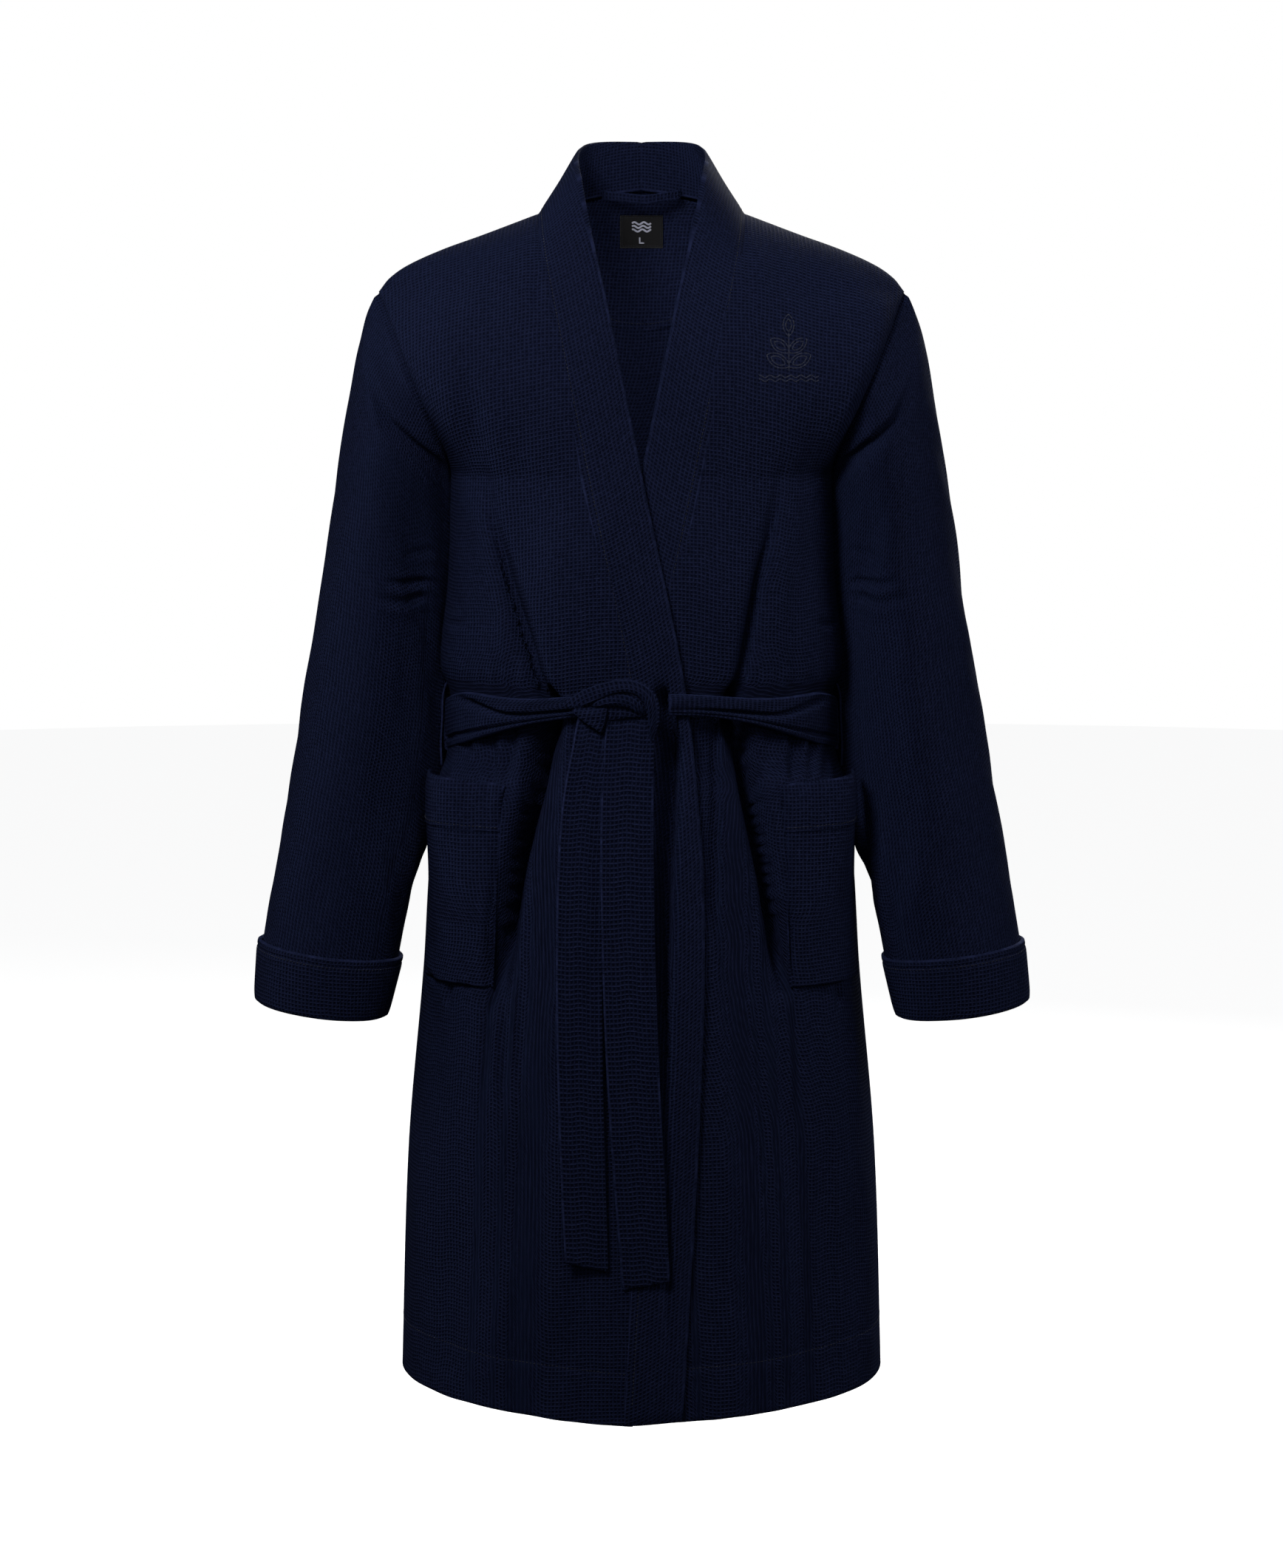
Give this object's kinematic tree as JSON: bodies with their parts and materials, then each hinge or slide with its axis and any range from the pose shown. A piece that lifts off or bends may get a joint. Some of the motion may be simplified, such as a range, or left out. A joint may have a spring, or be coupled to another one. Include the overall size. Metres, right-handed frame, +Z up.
{
  "type": "bathrobe",
  "caption": "Knee-length wrap-over bathrobe of waffle cloth, tied at the waist with its own belt, hanging as worn, with patch pockets and cuffed sleeves.",
  "frame": {"origin": "the middle of the back neck seam, at the nape, where the hanger loop is sewn and the weight hangs", "axes": "+X to the wearer's left, the front of the robe faces -Y, +Z up along the body"},
  "size_m": [0.6934, 0.2956, 1.1003],
  "materials": {
    "waffle_cloth": "navy cotton waffle weave with a raised grid",
    "woven_label": null,
    "embroidery_thread": "tone-on-tone embroidery thread with a slight shine"
  },
  "bodies": {
    "robe_body": {"back_panel": "waffle_cloth", "right_front_panel": "waffle_cloth", "left_front_panel": "waffle_cloth", "right_neckband": "waffle_cloth", "left_neckband": "waffle_cloth", "back_neck_facing": "waffle_cloth", "neck_label": "woven_label", "right_pocket": "waffle_cloth", "left_pocket": "waffle_cloth", "right_pocket_band": "waffle_cloth", "left_pocket_band": "waffle_cloth", "right_belt_loop": "waffle_cloth", "left_belt_loop": "waffle_cloth", "belt_wrap": "waffle_cloth", "belt_knot": "waffle_cloth", "chest_emblem": "embroidery_thread"},
    "right_arm": {"right_sleeve": "waffle_cloth", "right_cuff": "waffle_cloth"},
    "left_arm": {"left_sleeve": "waffle_cloth", "left_cuff": "waffle_cloth"},
    "loop": {"hanger_loop": "waffle_cloth"},
    "long_end": {"belt_long_end": "waffle_cloth"},
    "short_end": {"belt_short_end": "waffle_cloth"}
  },
  "joints": [
    {"name": "right_sleeve_raise", "type": "hinge", "parent": "robe_body", "child": "right_arm", "pos_m": [-0.231, -0.078, -0.086], "axis": [0, 1, 0], "range_deg": [0, 60]},
    {"name": "left_sleeve_raise", "type": "hinge", "parent": "robe_body", "child": "left_arm", "pos_m": [0.231, -0.078, -0.086], "axis": [0, -1, 0], "range_deg": [0, 60]},
    {"name": "hanger_loop_lift", "type": "hinge", "parent": "robe_body", "child": "loop", "pos_m": [0, -0.0125, -0.001], "axis": [-1, 0, 0], "range_deg": [0, 150]},
    {"name": "long_end_swing", "type": "hinge", "parent": "robe_body", "child": "long_end", "pos_m": [-0.0105, -0.22, -0.479], "axis": [-1, 0, 0], "range_deg": [0, 60]},
    {"name": "short_end_swing", "type": "hinge", "parent": "robe_body", "child": "short_end", "pos_m": [-0.043, -0.22, -0.479], "axis": [-1, 0, 0], "range_deg": [0, 60]}
  ]
}
